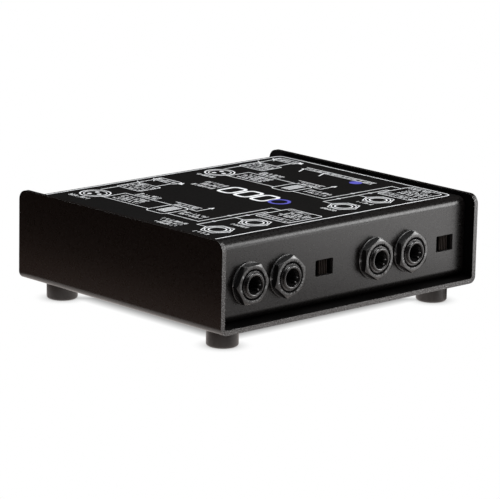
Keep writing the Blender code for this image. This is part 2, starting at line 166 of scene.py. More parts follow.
# Print.
INK_THICKNESS = 0.05
INK_LIFT = 0.01
FINE = 0.3
THIN = 0.42
BOLD = 0.6
TICK_WIDTH = 0.27
TICK_START = 0.14
TICK_END = 0.80
TICK_CUT = 0.35
TICK_SPACINGS = (0.7, 0.7, 0.9, 1.8)
JACK_SYMBOL_RADII = (6.6, 5.0, 3.5)
OUTPUT_SYMBOL_RADII = (6.2, 4.7, 2.4)
OUTPUT_DOT = 0.95
PRINT_SEED = 7

CHANNELS = ("ch1", "ch2")
CHANNEL_PITCH = 67.6
JACKS = ("input", "thru")
CORNERS = ("front_left", "front_right", "rear_left", "rear_right")
ENCLOSURE = "enclosure"


# ---------------- shapes


def millimetres(node):
    """Return a CAD node's lowest and highest corners in millimetres."""
    low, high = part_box(node)
    return low / METRES, high / METRES


def middle(node):
    """Return the middle of a CAD node's box in millimetres."""
    low, high = millimetres(node)
    return (low + high) / 2


def new_object(name, data):
    """Put a new object with some data into the scene."""
    item = bpy.data.objects.new(name, data)
    bpy.context.scene.collection.objects.link(item)
    return item


def make_object(name, points, faces):
    """Make an object from points in millimetres."""
    mesh = bpy.data.meshes.new(name)
    mesh.from_pydata([Vector(point) * METRES for point in points], [], faces)
    work = bmesh.new()
    work.from_mesh(mesh)
    bmesh.ops.recalc_face_normals(work, faces=work.faces)
    work.to_mesh(mesh)
    work.free()
    return new_object(name, mesh)


def to_space(axis, first, second, along):
    """Place a point of a flat outline in space: (x, z) for Y, (x, y) for Z, (y, z) for X."""
    if axis == "X":
        return (along, first, second)
    if axis == "Y":
        return (first, along, second)
    return (first, second, along)


def prism(name, outline, axis, start, end):
    """Extrude a closed outline along an axis."""
    count = len(outline)
    points = [to_space(axis, a, b, start) for a, b in outline]
    points += [to_space(axis, a, b, end) for a, b in outline]
    faces = [tuple(range(count)), tuple(range(2 * count - 1, count - 1, -1))]
    for index in range(count):
        after = (index + 1) % count
        faces.append((index, after, after + count, index + count))
    return make_object(name, points, faces)


def box(name, low, high):
    """Make a box from its two opposite corners."""
    outline = [(low[0], low[1]), (high[0], low[1]), (high[0], high[1]), (low[0], high[1])]
    return prism(name, outline, "Z", low[2], high[2])


def lathe(name, profile, axis, centre, segments):
    """Turn a closed profile of (radius, along) points about an axis through centre."""
    points = []
    rings = []
    for radius, along in profile:
        ring = []
        for step in range(1 if radius == 0 else segments):
            angle = 2 * pi * step / segments
            first = centre[0] + radius * cos(angle)
            second = centre[1] + radius * sin(angle)
            ring.append(len(points))
            points.append(to_space(axis, first, second, along))
        rings.append(ring)
    faces = []
    for index, ring in enumerate(rings):
        after = rings[(index + 1) % len(rings)]
        if len(ring) == 1 and len(after) == 1:
            continue
        for step in range(segments):
            corners = []
            for corner in (
                ring[step % len(ring)],
                ring[(step + 1) % len(ring)],
                after[(step + 1) % len(after)],
                after[step % len(after)],
            ):
                if corner not in corners:
                    corners.append(corner)
            faces.append(tuple(corners))
    return make_object(name, points, faces)


def cylinder(radius, axis, centre, start, end, segments=48):
    """Make a plain cylinder, used only to cut others."""
    profile = [(0, start), (radius, start), (radius, end), (0, end)]
    return lathe("cutter", profile, axis, centre, segments)


def arc(centre, radius, start, end, steps):
    """Return points along an arc, angles in degrees."""
    points = []
    for step in range(steps + 1):
        angle = radians(start + (end - start) * step / steps)
        points.append((centre[0] + radius * cos(angle), centre[1] + radius * sin(angle)))
    return points


def rounded_box_outline(low, high, radius, steps=6):
    """Return the outline of a rectangle with rounded corners."""
    corners = (
        (high[0] - radius, low[1] + radius, 270),
        (high[0] - radius, high[1] - radius, 0),
        (low[0] + radius, high[1] - radius, 90),
        (low[0] + radius, low[1] + radius, 180),
    )
    outline = []
    for x, y, start in corners:
        outline += arc((x, y), radius, start, start + 90, steps)
    return outline


def bake(item):
    """Apply the modifiers of an item."""
    bpy.context.view_layer.update()
    evaluated = item.evaluated_get(bpy.context.evaluated_depsgraph_get())
    result = bpy.data.meshes.new_from_object(evaluated)
    item.modifiers.clear()
    item.data = result


def combine(item, others, operation):
    """Cut, join or intersect an item with other solids."""
    for other in others:
        modifier = item.modifiers.new("combine", "BOOLEAN")
        modifier.operation = operation
        modifier.solver = "EXACT"
        modifier.object = other
    bake(item)
    for other in others:
        bpy.data.objects.remove(other, do_unlink=True)


def soften(item, width, segments=3, angle=35):
    """Round the sharp edges of an item and shade it smoothly."""
    for face in item.data.polygons:
        face.use_smooth = True
    modifier = item.modifiers.new("edges", "BEVEL")
    modifier.width = width * METRES
    modifier.segments = segments
    modifier.limit_method = "ANGLE"
    modifier.angle_limit = radians(angle)
    modifier.use_clamp_overlap = True
    even = item.modifiers.new("flat_faces", "WEIGHTED_NORMAL")
    even.mode = "FACE_AREA"
    even.weight = 100
    bake(item)


def smooth(item, angle):
    """Shade an item smoothly, but for edges sharper than an angle in degrees."""
    for face in item.data.polygons:
        face.use_smooth = True
    item.data.set_sharp_from_angle(angle=radians(angle))


def hexagon(centre, radius, turn):
    """Return the corners of a hexagon turned by an angle in degrees."""
    corners = []
    for step in range(6):
        angle = radians(turn + 60 * step)
        corners.append((centre[0] + radius * cos(angle), centre[1] + radius * sin(angle)))
    return corners


def repaint(item, material, picked):
    """Give another material to the faces whose normal and centre in millimetres are picked."""
    item.data.materials.append(material)
    index = len(item.data.materials) - 1
    for face in item.data.polygons:
        if picked(face.normal, face.center / METRES):
            face.material_index = index


def finish_piece(item, material, nodes=(), body=ENCLOSURE):
    """Give an item its material, the nodes it stands for and its body."""
    item.data.materials.clear()
    item.data.materials.append(material)
    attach(item, body)
    if nodes:
        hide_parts(*nodes)


def bent_sheet(name, path, half, thickness, axis, corner=0.0):
    """Make a sheet whose outer side follows a path, between -half and half along an axis.

    The four corners of the flat sheet are rounded when corner is set.
    """
    lengths = [0.0]
    for (a0, b0), (a1, b1) in zip(path, path[1:]):
        lengths.append(lengths[-1] + hypot(a1 - a0, b1 - b0))
    total = lengths[-1]
    points = []
    for index, (a, b) in enumerate(path):
        before = path[max(index - 1, 0)]
        after = path[min(index + 1, len(path) - 1)]
        along = Vector((after[0] - before[0], after[1] - before[1])).normalized()
        inward = Vector((-along.y, along.x))
        # A mitre keeps the inner side at an even distance round the bends.
        first = Vector((a - before[0], b - before[1]))
        stretch = 1.0
        if first.length > 0:
            stretch = 1.0 / max(abs(first.normalized().dot(along)), 0.5)
        inner = Vector((a, b)) + inward * thickness * stretch
        near = min(lengths[index], total - lengths[index])
        inset = 0.0
        if near < corner:
            inset = corner - (corner ** 2 - (corner - near) ** 2) ** 0.5
        for side in (-1, 1):
            points.append(to_space(axis, a, b, side * (half - inset)))
            points.append(to_space(axis, inner.x, inner.y, side * (half - inset)))
    faces = []
    for index in range(len(path) - 1):
        base = 4 * index
        following = base + 4
        for first, second in ((0, 2), (2, 3), (3, 1), (1, 0)):
            faces.append((base + first, base + second, following + second, following + first))
    faces.append((0, 1, 3, 2))
    last = 4 * (len(path) - 1)
    faces.append((last, last + 2, last + 3, last + 1))
    return make_object(name, points, faces)


# ---------------- materials


def node(tree, kind, **values):
    """Add a shader node, set its properties and set or link its inputs."""
    item = tree.nodes.new(kind)
    for key, value in values.items():
        if hasattr(item, key):
            setattr(item, key, value)
        else:
            feed(tree, item.inputs[key.replace("_", " ")], value)
    return item


def feed(tree, socket, value):
    """Give an input a value, or link it to an output."""
    if isinstance(value, bpy.types.NodeSocket):
        tree.links.new(value, socket)
    else:
        socket.default_value = value


def noise(tree, place, size, detail=3.0):
    """Return the output of a noise whose spots have a size in millimetres."""
    scale = 1.0 / (size * METRES)
    item = node(tree, "ShaderNodeTexNoise", Vector=place, Scale=scale, Detail=detail)
    return item.outputs["Fac"]


def calculate(tree, operation, *values):
    """Return the result of a maths operation on numbers or outputs."""
    item = node(tree, "ShaderNodeMath", operation=operation)
    for socket, value in zip(item.inputs, values):
        feed(tree, socket, value)
    return item.outputs["Value"]


def spread(tree, value, low, high, start=0.3, end=0.7):
    """Map the middle of a noise's range to low and high."""
    ends = {"From_Min": start, "From_Max": end, "To_Min": low, "To_Max": high}
    return node(tree, "ShaderNodeMapRange", Value=value, **ends).outputs["Result"]


def blend_colour(tree, factor, low, high):
    """Return a colour between two colours or colour outputs."""
    item = node(tree, "ShaderNodeMix", data_type="RGBA")
    tree.links.new(factor, item.inputs["Factor"])
    for key, value in (("A", low), ("B", high)):
        socket = next(s for s in item.inputs if s.name == key and s.type == "RGBA")
        feed(tree, socket, (*value, 1.0) if isinstance(value, tuple) else value)
    return next(s for s in item.outputs if s.type == "RGBA")


def surface(
    name,
    colour,
    roughness,
    metallic=0.0,
    grain=0.4,
    relief=0.02,
    patch=9.0,
    variation=0.25,
    roughness_spread=0.06,
    scuff_and_sheen_colour=None,
    scuff_and_sheen=0.5,
    specular=0.5,
):
    """Return a material with grain, uneven colour and roughness, and lighter edges for scuffing
    and a painted highlight.

    grain and patch are spot sizes in millimetres, relief is the grain's height.
    """
    material = bpy.data.materials.new(name)
    material.use_nodes = True
    tree = material.node_tree
    shader = tree.nodes["Principled BSDF"]
    shader.inputs["Metallic"].default_value = metallic
    shader.inputs["Specular IOR Level"].default_value = specular
    place = node(tree, "ShaderNodeTexCoord").outputs["Object"]
    fine = noise(tree, place, grain)
    speck = noise(tree, place, grain * 2.0)
    broad = noise(tree, place, patch)

    darker = tuple(channel * (1 - variation) for channel in colour)
    lighter = tuple(channel * (1 + variation) for channel in colour)
    mottle = calculate(tree, "ADD", spread(tree, broad, 0.0, 0.4), spread(tree, speck, 0.0, 0.6))
    base = blend_colour(tree, mottle, darker, lighter)
    # Pointy edges turn lighter: partly scuffing, partly a painted edge highlight.
    if scuff_and_sheen_colour:
        geometry = node(tree, "ShaderNodeNewGeometry")
        edge = spread(tree, geometry.outputs["Pointiness"], 0.0, scuff_and_sheen, 0.52, 0.62)
        breakup = calculate(tree, "MULTIPLY", edge, spread(tree, fine, 0.2, 1.0))
        base = blend_colour(tree, breakup, base, scuff_and_sheen_colour)
    tree.links.new(base, shader.inputs["Base Color"])

    low, high = roughness - roughness_spread, roughness + roughness_spread
    tree.links.new(spread(tree, speck, low, high), shader.inputs["Roughness"])

    bump = node(tree, "ShaderNodeBump", Height=fine, Strength=1.0, Distance=relief * METRES)
    tree.links.new(bump.outputs["Normal"], shader.inputs["Normal"])
    return material


def make_materials():
    """Return every material by its short name."""
    coat = {"grain": 0.55, "relief": 0.008, "variation": 0.4, "roughness_spread": 0.05}
    satin = {"grain": 0.35, "relief": 0.003, "scuff_and_sheen_colour": (0.03, 0.03, 0.03), "scuff_and_sheen": 0.4}
    moulded = {"grain": 0.5, "relief": 0.008}
    printed = {"grain": 0.3, "relief": 0.004, "patch": 2.0}
    return {
        "powder": surface(
            "powder_coat_black", (0.0032, 0.0026, 0.0024), 0.30,
            scuff_and_sheen_colour=(0.012, 0.011, 0.011), **coat,
        ),
        # The flat top gets a matt, darker copy of the coat; the darker colour is painted shade.
        "top": surface(
            "matt_top_with_painted_shade", (0.0020, 0.0017, 0.0016), 0.85,
            specular=0.1, **coat,
        ),
        # A darker, nearly unreflective copy of the coat for faces that lie in shadow: painted
        # shade.
        "inner": surface(
            "powder_coat_painted_shade", (0.0016, 0.0014, 0.0014), 0.55,
            grain=0.55, relief=0.03, variation=0.4, specular=0.08,
        ),
        # The cut edges get a much lighter, bumpier coat; the lighter colour is a painted
        # highlight.
        "edge": surface(
            "cut_edge_painted_highlight", (0.035, 0.033, 0.033), 0.30,
            grain=0.5, relief=0.30, scuff_and_sheen_colour=(0.09, 0.088, 0.088), scuff_and_sheen=0.6, specular=0.9,
        ),
        "rubber": surface(
            "moulded_rubber", (0.016, 0.0142, 0.0136), 0.38,
            grain=0.8, relief=0.01, variation=0.2, roughness_spread=0.1,
        ),
        "screw": surface(
            "black_oxide", (0.09, 0.088, 0.09), 0.36, 1.0,
            grain=0.3, relief=0.008, scuff_and_sheen_colour=(0.3, 0.3, 0.3), scuff_and_sheen=0.7,
        ),
        "jack": surface(
            "moulded_plastic_black", (0.008, 0.0078, 0.008), 0.27,
            grain=0.6, relief=0.006, scuff_and_sheen_colour=(0.05, 0.05, 0.05), scuff_and_sheen=0.4, specular=0.9,
        ),
        "nut": surface(
            "satin_nut_black", (0.010, 0.010, 0.010), 0.32,
            specular=1.0, **satin,
        ),
        # The nut's flats get a darker, duller copy of its finish: painted shade.
        "nut_flats_painted_shade": surface(
            "satin_nut_flats_with_painted_shade", (0.008, 0.008, 0.008), 0.42,
            specular=0.22, **satin,
        ),
        # The washer's near-white edges stand for scuffing and a painted highlight.
        "washer": surface(
            "washer_black_nickel", (0.012, 0.012, 0.013), 0.25,
            grain=0.4, relief=0.005, scuff_and_sheen_colour=(0.8, 0.8, 0.8), scuff_and_sheen=1.0, specular=0.7,
        ),
        "brass": surface("spring_brass", (0.62, 0.45, 0.19), 0.32, 1.0, grain=0.3, relief=0.004),
        "housing": surface("switch_housing_black", (0.008, 0.008, 0.008), 0.5, **moulded),
        "slider": surface(
            "slider_plastic_brown", (0.015, 0.010, 0.0075), 0.5,
            grain=0.4, relief=0.006, scuff_and_sheen_colour=(0.03, 0.022, 0.018), scuff_and_sheen=0.6, specular=0.12,
        ),
        "xlr": surface(
            "cast_shell_black", (0.05, 0.05, 0.052), 0.38, 0.6,
            grain=0.45, relief=0.02, scuff_and_sheen_colour=(0.2, 0.2, 0.2), scuff_and_sheen=0.6,
        ),
        "insert": surface("insert_plastic_black", (0.012, 0.012, 0.012), 0.4, **moulded),
        "pin": surface(
            "silver_pin", (0.74, 0.73, 0.70), 0.2, 1.0,
            grain=0.5, relief=0.003, variation=0.08, roughness_spread=0.05,
        ),
        "core": make_lamination_material(),
        "coil": surface("coil_tape", (0.46, 0.31, 0.06), 0.45, grain=1.6, relief=0.05, patch=4.0),
        "board": make_board_material(),
        "ink": surface("ink_white", (0.90, 0.92, 0.94), 0.5, variation=0.06, **printed),
        "ink_blue": surface(
            "ink_blue_violet", (0.10, 0.10, 0.52), 0.45,
            variation=0.08, **printed,
        ),
    }


def make_lamination_material():
    """Return steel with the fine layers of a laminated core."""
    material = surface("lamination_steel", (0.20, 0.20, 0.21), 0.45, 0.9, grain=0.4, relief=0.01)
    tree = material.node_tree
    place = tree.nodes["Texture Coordinate"].outputs["Object"]
    grained = tree.nodes["Bump"].outputs["Normal"]
    lines = {"bands_direction": "Y", "Scale": 300.0, "Distortion": 0.5}
    height = node(tree, "ShaderNodeTexWave", Vector=place, **lines).outputs["Fac"]
    relief = {"Strength": 1.0, "Distance": 0.08 * METRES}
    bump = node(tree, "ShaderNodeBump", Height=height, Normal=grained, **relief)
    tree.links.new(bump.outputs["Normal"], tree.nodes["Principled BSDF"].inputs["Normal"])
    return material


def make_board_material():
    """Return green solder mask with lighter tracks under it."""
    material = surface("solder_mask_green", (0.010, 0.075, 0.028), 0.35, grain=0.8, relief=0.01)
    tree = material.node_tree
    shader = tree.nodes["Principled BSDF"]
    place = tree.nodes["Texture Coordinate"].outputs["Object"]
    lines = {"Scale": 150.0, "Mortar_Size": 0.06, "offset": 0.5}
    tracks = node(tree, "ShaderNodeTexBrick", Vector=place, **lines)
    base = shader.inputs["Base Color"].links[0].from_socket
    mixed = blend_colour(tree, tracks.outputs["Fac"], base, (0.03, 0.14, 0.055))
    tree.links.new(mixed, shader.inputs["Base Color"])
    return material


# ---------------- enclosure


def screw_places(kind):
    """Return the (x, y) middles of the four screws of a kind."""
    centres = [middle(f"{kind}_{corner}") for corner in CORNERS]
    return [(centre.x, centre.y) for centre in centres]


def build_tray(materials):
    """Bend the tray from one sheet and give its cut edges their own finish."""
    low, high = millimetres("outer_tray")
    half = high.x
    base = low.z
    turns = [pi / 2 * step / CORNER_STEPS for step in range(CORNER_STEPS + 1)]
    drops = [TRAY_CORNER * (1 - cos(turn)) for turn in turns]
    path = [(-half, high.z - drop) for drop in drops] + [(-half, base + TRAY_BEND)]
    path += arc((-half + TRAY_BEND, base + TRAY_BEND), TRAY_BEND, 180, 270, BEND_STEPS)[1:]
    path += arc((half - TRAY_BEND, base + TRAY_BEND), TRAY_BEND, 270, 360, BEND_STEPS)
    path += [(half, high.z - drop) for drop in reversed(drops)]
    sheet = bent_sheet("tray_sheet", path, high.y, TRAY_SHEET, "Y", TRAY_CORNER)
    holes = []
    for place in screw_places("foot_screw") + screw_places("case_screw"):
        holes.append(cylinder(SCREW_HOLE, "Z", place, base - PAST, base + TRAY_SHEET + PAST, 24))
    combine(sheet, holes, "DIFFERENCE")
    soften(sheet, TRAY_EDGE, 3, 50)
    finish_piece(sheet, materials["powder"], ["outer_tray"])

    def is_cut(normal, place):
        """Tell the cut front and rear edges."""
        return abs(normal.y) > 0.6

    def is_inner(normal, place):
        """Tell the side panels' and the floor's inner faces."""
        inside = abs(place.x) < half - TRAY_SHEET + 0.01 and place.z > base + TRAY_SHEET - 0.01
        return inside and not is_cut(normal, place)

    # The cut front and rear edges get the lighter edge coat: a painted highlight.
    repaint(sheet, materials["edge"], is_cut)
    # The inner faces of the side panels and floor get the darker copy of the coat: painted shade.
    repaint(sheet, materials["inner"], is_inner)


def build_shell(materials):
    """Bend the shell from one sheet and punch its panels."""
    low, high = millimetres("top_shell")
    lip = high.y - SHELL_FLANGE
    front, rear = low.y + SHELL_BEND, high.y - SHELL_BEND
    under, over = low.z + SHELL_BEND, high.z - SHELL_BEND
    path = [(-lip, low.z)]
    bends = ((front, under, 270), (front, over, 180), (rear, over, 90), (rear, under, 360))
    for y, z, start in bends:
        path += arc((y, z), SHELL_BEND, start, start - 90, BEND_STEPS)
    path += [(lip, low.z)]
    sheet = bent_sheet("shell_sheet", list(reversed(path)), high.x, SHELL_SHEET, "X")
    front_span = (low.y - PAST, low.y + 2 * SHELL_SHEET)
    rear_span = (high.y - 2 * SHELL_SHEET, high.y + PAST)
    holes = []
    for channel in CHANNELS:
        for jack in JACKS:
            centre = middle(f"{channel}_{jack}_jack_washer")
            holes.append(cylinder(BUSH_HOLE, "Y", (centre.x, centre.z), *front_span))
        for switch, span in (("pad", front_span), ("lift", rear_span)):
            centre = middle(f"{channel}_{switch}_switch_housing")
            first = (centre.x - WINDOW_HALF_WIDTH, centre.z - WINDOW_HALF_HEIGHT)
            last = (centre.x + WINDOW_HALF_WIDTH, centre.z + WINDOW_HALF_HEIGHT)
            outline = rounded_box_outline(first, last, WINDOW_CORNER, 4)
            holes.append(prism("cutter", outline, "Y", *span))
        centre = middle(f"{channel}_xlr_insert")
        radius = XLR_SLEEVE_OUTER + XLR_HOLE_GAP
        holes.append(cylinder(radius, "Y", (centre.x, centre.z), *rear_span))
        for sign in (-1, 1):
            place = (centre.x + sign * XLR_SCREW_OFFSET, centre.z - sign * XLR_SCREW_OFFSET)
            holes.append(cylinder(SCREW_HOLE, "Y", place, *rear_span, 24))
    for place in screw_places("case_screw"):
        holes.append(cylinder(SCREW_HOLE, "Z", place, low.z - PAST, low.z + 2 * SHELL_SHEET, 24))
    combine(sheet, holes, "DIFFERENCE")
    soften(sheet, SHELL_EDGE, 3, 50)
    finish_piece(sheet, materials["powder"], ["top_shell"])

    def is_punched(normal, place):
        """Tell the walls of the holes in the front and rear panels."""
        within = high.y - SHELL_SHEET < abs(place.y) < high.y - SHELL_EDGE / 2
        return within and abs(normal.y) < 0.5

    def is_top(normal, place):
        """Tell the flat, printed top."""
        return normal.z > 0.999 and place.z > high.z - SHELL_EDGE

    # The walls of the holes get the lighter edge coat: a painted highlight.
    repaint(sheet, materials["edge"], is_punched)
    # The top gets its darker copy of the coat: painted shade.
    repaint(sheet, materials["top"], is_top)


def build_feet(materials):
    """Turn four rubber feet with a rounded lower rim and a screw recess."""
    for corner in CORNERS:
        name = f"foot_{corner}"
        low, high = millimetres(name)
        centre = (low + high) / 2
        radius = high.x - centre.x
        floor = low.z + FOOT_RECESS_DEPTH
        profile = [(FOOT_RECESS, low.z + FOOT_RECESS_LIP)]
        profile += [(FOOT_RECESS + FOOT_RECESS_LIP, low.z)]
        profile += arc((radius - FOOT_RIM, low.z + FOOT_RIM), FOOT_RIM, 270, 360, 6)
        profile += [(radius, high.z - 0.5), (radius - 0.25, high.z), (SCREW_HOLE, high.z)]
        profile += [(SCREW_HOLE, floor), (FOOT_RECESS, floor)]
        foot = lathe(f"{name}_rubber", profile, "Z", (centre.x, centre.y), 64)
        soften(foot, 0.12, 2, 40)
        finish_piece(foot, materials["rubber"], [name])


def build_screw(name, axis, way, materials):
    """Make a pan-head screw with a cross recess in place of a CAD screw.

    way is 1 where the point looks along the axis and -1 where it looks against it.
    """
    low, high = millimetres(name)
    centre = (low + high) / 2
    index = "XYZ".index(axis)
    place = tuple(centre[other] for other in range(3) if other != index)
    crown, tip = (low[index], high[index]) if way > 0 else (high[index], low[index])
    profile = [(radius, crown + way * depth) for radius, depth in SCREW_CROWN]
    position = SCREW_CROWN[-1][1] + 0.1
    length = abs(tip - crown) - SCREW_POINT
    while position + THREAD_PITCH < length:
        profile.append((SCREW_ROOT, crown + way * position))
        profile.append((SCREW_SHANK, crown + way * (position + THREAD_PITCH / 2)))
        position += THREAD_PITCH
    profile += [(SCREW_SHANK - 0.2, crown + way * length)]
    profile += [(SCREW_SHANK - SCREW_POINT, tip), (0, tip)]
    screw = lathe(f"{name}_threaded", profile, axis, place, 32)
    slots = []
    for half in ((CROSS_HALF_LENGTH, CROSS_HALF_WIDTH), (CROSS_HALF_WIDTH, CROSS_HALF_LENGTH)):
        corners = [(-half[0], -half[1]), (half[0], -half[1]), half, (-half[0], half[1])]
        outline = [(place[0] + a, place[1] + b) for a, b in corners]
        slots.append(prism("cutter", outline, axis, crown - way * PAST, crown + way * CROSS_DEPTH))
    combine(screw, slots, "DIFFERENCE")
    soften(screw, 0.07, 2, 40)
    finish_piece(screw, materials["screw"], [name])


# ---------------- jacks


def build_jack(channel, jack, turn, materials):
    """Make a jack's block, threaded bush, washer and nut."""
    name = f"{channel}_{jack}"
    centre = middle(f"{name}_jack_washer")
    place = (centre.x, centre.z)
    build_bush(name, place, materials)
    build_washer(name, place, materials)
    build_nut(name, place, turn, materials)


def build_bush(name, place, materials):
    """Make the jack's moulded block and its threaded, bored bush."""
    low, high = millimetres(f"{name}_jack_body")
    block_front = millimetres("top_shell")[0].y + SHELL_SHEET + JACK_GAP
    block = box(f"{name}_jack_block", (low.x, block_front, low.z), high)
    bore = cylinder(JACK_BORE, "Y", place, block_front - PAST, high.y - JACK_BACK_WALL)
    slot_low = (place[0] - SPRING_SLOT_HALF_WIDTH, SPRING_SLOT[0], place[1])
    slot_high = (place[0] + SPRING_SLOT_HALF_WIDTH, SPRING_SLOT[1], high.z + PAST)
    combine(block, [bore, box("cutter", slot_low, slot_high)], "DIFFERENCE")
    soften(block, 0.4)
    finish_piece(block, materials["jack"], [f"{name}_jack_body"])

    end = low.y
    back = block_front + 0.1
    shoulder = end + BUSH_SHOULDER
    profile = [(JACK_BORE, back), (BUSH_RADIUS, back)]
    position = block_front - 0.3
    while position - THREAD_PITCH > shoulder + 0.2:
        profile.append((BUSH_RADIUS, position))
        profile.append((BUSH_ROOT, position - THREAD_PITCH / 2))
        position -= THREAD_PITCH
    profile += [(BUSH_RADIUS - 0.1, shoulder + 0.15), (BUSH_RADIUS - 0.3, shoulder)]
    profile += [(BUSH_LIP_OUTER + 0.1, shoulder), (BUSH_LIP_OUTER, shoulder - 0.1)]
    rounding = (BUSH_LIP_OUTER - BUSH_LIP_INNER) / 2
    profile += arc((BUSH_LIP_INNER + rounding, end + rounding), rounding, 360, 180, 10)
    profile += [(BUSH_LIP_INNER - 0.1, end + BUSH_MOUTH[0]), (JACK_BORE, end + BUSH_MOUTH[1])]
    bush = lathe(f"{name}_jack_bush", profile, "Y", place, 64)
    smooth(bush, 35)
    finish_piece(bush, materials["jack"], [f"{name}_jack_body"])
    for number, angle in enumerate(TOOTH_ANGLES):
        build_tooth(f"{name}_contact_{number + 1}", place, angle, end, materials)


def build_tooth(name, place, angle, end, materials):
    """Make one of the small contact noses that stand into the bore."""
    turn = radians(angle)
    root, nose = BUSH_LIP_INNER + 0.1, JACK_BORE - TOOTH_REACH
    corners = (
        (root, -TOOTH_HALF_WIDTH),
        (nose, -TOOTH_HALF_WIDTH * 0.6),
        (nose, TOOTH_HALF_WIDTH * 0.6),
        (root, TOOTH_HALF_WIDTH),
    )
    outline = []
    for radius, side in corners:
        x = place[0] + radius * cos(turn) - side * sin(turn)
        z = place[1] + radius * sin(turn) + side * cos(turn)
        outline.append((x, z))
    tooth = prism(name, outline, "Y", end + TOOTH_SPAN[0], end + TOOTH_SPAN[1])
    soften(tooth, 0.2, 3)
    finish_piece(tooth, materials["nut"])


def build_washer(name, place, materials):
    """Make a flat washer with rounded rims."""
    low, high = millimetres(f"{name}_jack_washer")
    radius = (high.x - low.x) / 2
    profile = [(BUSH_HOLE, high.y), (radius, high.y), (radius, low.y), (BUSH_HOLE, low.y)]
    washer = lathe(f"{name}_jack_washer_ring", profile, "Y", place, 96)
    soften(washer, 0.2)
    finish_piece(washer, materials["washer"], [f"{name}_jack_washer"])


def build_nut(name, place, turn, materials):
    """Make a hexagon nut with a turned face and rounded edges."""
    low, high = millimetres(f"{name}_jack_nut")
    face, back = low.y, high.y
    corner = NUT_ACROSS_FLATS / 2 / cos(radians(30))
    nut = prism(f"{name}_jack_nut_hex", hexagon(place, corner, turn), "Y", face, back)
    clear = corner + 0.2
    profile = [(0, face), (NUT_FACE_RADIUS, face), (clear, face + NUT_CHAMFER_RISE)]
    profile += [(clear, back), (0, back)]
    combine(nut, [lathe("cutter", profile, "Y", place, 96)], "INTERSECT")
    wide, deep = NUT_HOLE_CHAMFER
    profile = [(0, face - PAST), (BUSH_HOLE + wide, face - PAST), (BUSH_HOLE + wide, face)]
    profile += [(BUSH_HOLE, face + deep), (BUSH_HOLE, back + PAST), (0, back + PAST)]
    combine(nut, [lathe("cutter", profile, "Y", place, 96)], "DIFFERENCE")
    soften(nut, 0.07, 2, 22)
    finish_piece(nut, materials["nut"], [f"{name}_jack_nut"])
    # The flats get a darker, duller copy of the nut's finish: painted shade.
    repaint(nut, materials["nut_flats_painted_shade"], lambda normal, place: abs(normal.y) < 0.5)


# ---------------- switches and outputs


def build_slider(name, body, facing, materials):
    """Make a ribbed slider that rides on its own body."""
    low, high = millimetres(name)
    front = low.y if facing < 0 else high.y
    back = high.y if facing < 0 else low.y
    pitch = (high.x - low.x) / SLIDER_RIDGES
    foot = pitch * SLIDER_RIDGE_SHARE / 2
    crest = foot - SLIDER_RIDGE_SLOPE
    floor = front - facing * SLIDER_GROOVE
    outline = [(low.x, back), (low.x, floor)]
    for step in range(SLIDER_RIDGES):
        centre = low.x + pitch * (step + 0.5)
        outline += [(centre - foot, floor), (centre - crest, front)]
        outline += [(centre + crest, front), (centre + foot, floor)]
    outline += [(high.x, floor), (high.x, back)]
    slider = prism(f"{name}_ribbed", outline, "Z", low.z, high.z)
    soften(slider, 0.09, 2)
    finish_piece(slider, materials["slider"], [name], body)
    # The slider's sides get the darker copy of the coat: painted shade of the switch's inside.
    repaint(slider, materials["inner"], lambda normal, place: abs(normal.x) > 0.9)


def build_xlr(channel, materials):
    """Make an output's flanged cup, its insert and its three rounded pins."""
    name = f"{channel}_xlr"
    low, high = millimetres(f"{name}_shell")
    centre = (low + high) / 2
    place = (centre.x, centre.z)
    seat = millimetres("top_shell")[1].y + XLR_SEAT_GAP
    outline = rounded_box_outline((low.x, low.z), (high.x, high.z), XLR_FLANGE_CORNER)
    shell = prism(f"{name}_flange_cup", outline, "Y", seat, high.y)
    sleeve = cylinder(XLR_SLEEVE_OUTER, "Y", place, low.y, high.y - XLR_SLEEVE_DROP, 96)
    combine(shell, [sleeve], "UNION")
    bore = XLR_SLEEVE_INNER
    profile = [(0, low.y - PAST), (bore, low.y - PAST), (bore, high.y - XLR_CHAMFER)]
    profile += [(bore + XLR_CHAMFER + PAST, high.y + PAST), (0, high.y + PAST)]
    cutters = [lathe("cutter", profile, "Y", place, 96)]
    for sign in (-1, 1):
        hole = (place[0] + sign * XLR_SCREW_OFFSET, place[1] - sign * XLR_SCREW_OFFSET)
        cutters.append(cylinder(SCREW_HOLE, "Y", hole, seat - PAST, high.y + PAST, 32))
    combine(shell, cutters, "DIFFERENCE")
    soften(shell, 0.3, 3, 40)
    finish_piece(shell, materials["xlr"], [f"{name}_shell"])

    low, high = millimetres(f"{name}_insert")
    radius = (high.x - low.x) / 2
    inner = radius - INSERT_LIP
    dish = high.y - INSERT_DISH
    profile = [(0, low.y), (radius, low.y), (radius, high.y)]
    profile += [(inner, high.y), (inner, dish), (0, dish)]
    insert = lathe(f"{name}_insert_disc", profile, "Y", place, 64)
    holes = []
    for number in (1, 2, 3):
        pin = middle(f"{name}_pin_{number}")
        holes.append(cylinder(PIN_HOLE, "Y", (pin.x, pin.z), low.y - PAST, high.y + PAST, 32))
    combine(insert, holes, "DIFFERENCE")
    soften(insert, 0.15, 2, 40)
    finish_piece(insert, materials["insert"], [f"{name}_insert"])

    for number in (1, 2, 3):
        build_pin(f"{name}_pin_{number}", materials)


def build_pin(name, materials):
    """Turn a contact pin with a rounded tip."""
    low, high = millimetres(name)
    centre = (low + high) / 2
    radius = (high.x - low.x) / 2
    profile = [(0, low.y), (radius, low.y)]
    profile += arc((0, high.y - radius), radius, 0, 90, 8)[:-1]
    profile += [(0, high.y)]
    pin = lathe(f"{name}_turned", profile, "Y", (centre.x, centre.z), 32)
    smooth(pin, 40)
    finish_piece(pin, materials["pin"], [name])


# ---------------- print


